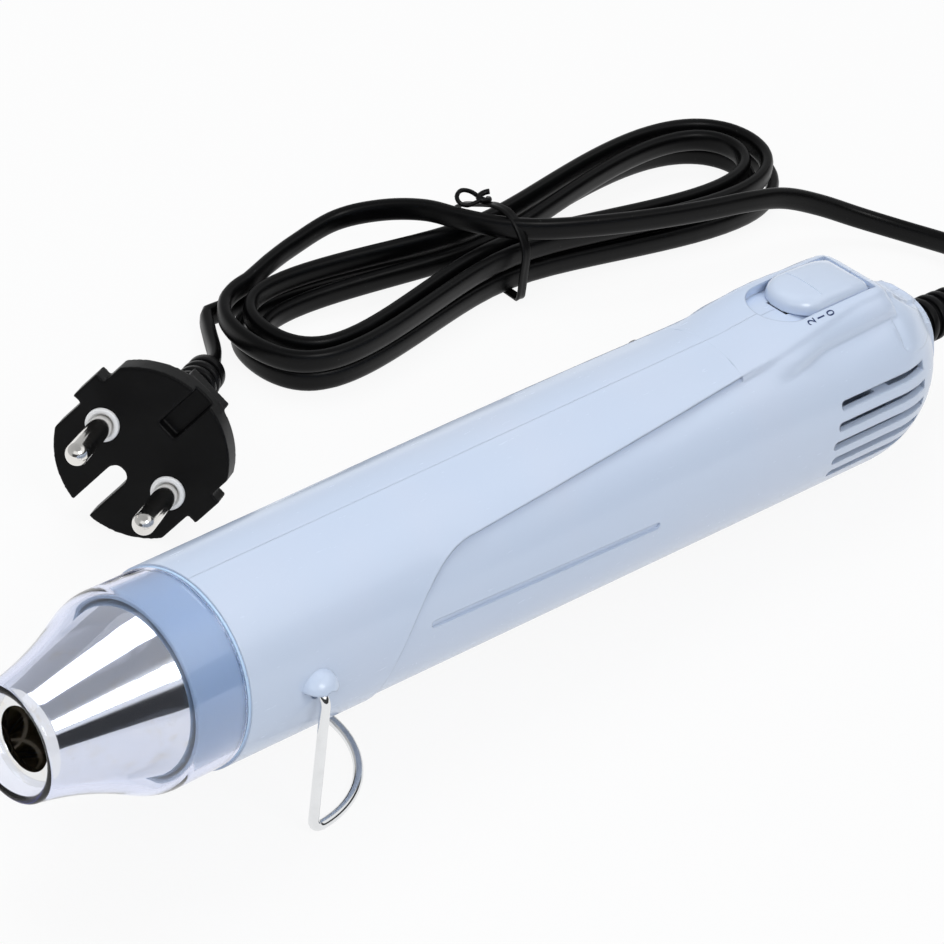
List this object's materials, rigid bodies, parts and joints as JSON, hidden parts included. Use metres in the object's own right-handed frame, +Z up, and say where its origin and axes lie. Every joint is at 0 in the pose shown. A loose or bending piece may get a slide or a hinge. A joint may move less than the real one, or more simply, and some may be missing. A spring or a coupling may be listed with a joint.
{
  "type": "embossing heat tool",
  "caption": "Hand-held hot air tool for embossing powder, lying on its folding wire stand, with a sliding switch, a clear nozzle guard and a tied flat cord with a plug.",
  "frame": {"origin": "centre, at table height, of the bottom of the box of the tool without its loose cord, plug and tie, as it lies on its stand and its rounded rear", "axes": "+X to the rear of the tool along its length, +Y to the far side, where the cord lies, +Z up from the table"},
  "size_m": [0.3106, 0.1406, 0.0551],
  "materials": {
    "housing": "moulded, smooth and glossy, pale blue",
    "button": "moulded, smooth and glossy, pale blue",
    "heat_guard": "clear blue plastic, glossy",
    "nozzle": "bright drawn sheet",
    "tube_steel": "plain rolled sheet",
    "mica": "flat mica sheet",
    "heating_wire": "dull resistance wire",
    "cutout_steel": "dull steel case",
    "heat_plastic": "heat resisting moulding",
    "inner_plastic": "plain moulding",
    "motor_steel": "drawn steel can",
    "motor_cap": "plain moulding",
    "shaft_steel": "ground steel",
    "board": "green circuit board",
    "black_parts": "black moulding",
    "capacitor_sleeve": "shrunk sleeve",
    "slider_plastic": "plain moulding",
    "brass_terminals": "plain brass",
    "lead_sheath": "soft insulation",
    "screw_steel": "plain steel screws",
    "black_rubber": "soft black moulding, satin",
    "stand_wire": "bright steel wire",
    "cord_black": "black cord sheath, satin",
    "tie_black": "black plastic covered tie wire",
    "plug_black": "black moulded plug, satin",
    "pin_metal": "nickel plated pins",
    "collar_white": "white insulating collar"
  },
  "bodies": {
    "housing": {"shell_near": "housing", "shell_far": "housing", "nozzle_guard": "heat_guard", "nozzle_cone": "nozzle", "heater_tube": "tube_steel", "mica_sleeve": "mica", "mica_former": "mica", "heating_coil": "heating_wire", "thermal_cutout": "cutout_steel", "heater_holder": "heat_plastic", "motor_mount": "inner_plastic", "motor_can": "motor_steel", "motor_cap": "motor_cap", "rectifier_board": "board", "diodes": "black_parts", "capacitor": "capacitor_sleeve", "switch_body": "black_parts", "switch_terminals": "brass_terminals", "inner_leads": "lead_sheath", "cord_clamp": "inner_plastic", "clamp_screws": "screw_steel", "housing_screws": "screw_steel", "strain_relief": "black_rubber", "cord_lead": "cord_black", "cord_hank": "cord_black", "cord_tie": "tie_black", "plug_lead": "cord_black", "plug_body": "plug_black", "plug_pins": "pin_metal", "plug_collars": "collar_white", "plug_boot": "plug_black"},
    "stand": {"wire_stand": "stand_wire"},
    "switch": {"switch_button": "button", "switch_slider": "slider_plastic"},
    "fan": {"impeller": "inner_plastic", "motor_shaft": "shaft_steel"}
  },
  "joints": [
    {"name": "stand_hinge", "type": "hinge", "parent": "housing", "child": "stand", "pos_m": [-0.08557, 0, 0.033], "axis": [0, 1, 0], "range_deg": [-14, 90]},
    {"name": "switch_slide", "type": "slide", "parent": "housing", "child": "switch", "axis": [-0.9982, 0, 0.0598], "range_m": [0, 0.006]},
    {"name": "fan_spin", "type": "hinge", "parent": "housing", "child": "fan", "pos_m": [-0.02201, 0, 0.02869], "axis": [0.9982, 0, -0.0598], "continuous": true}
  ]
}
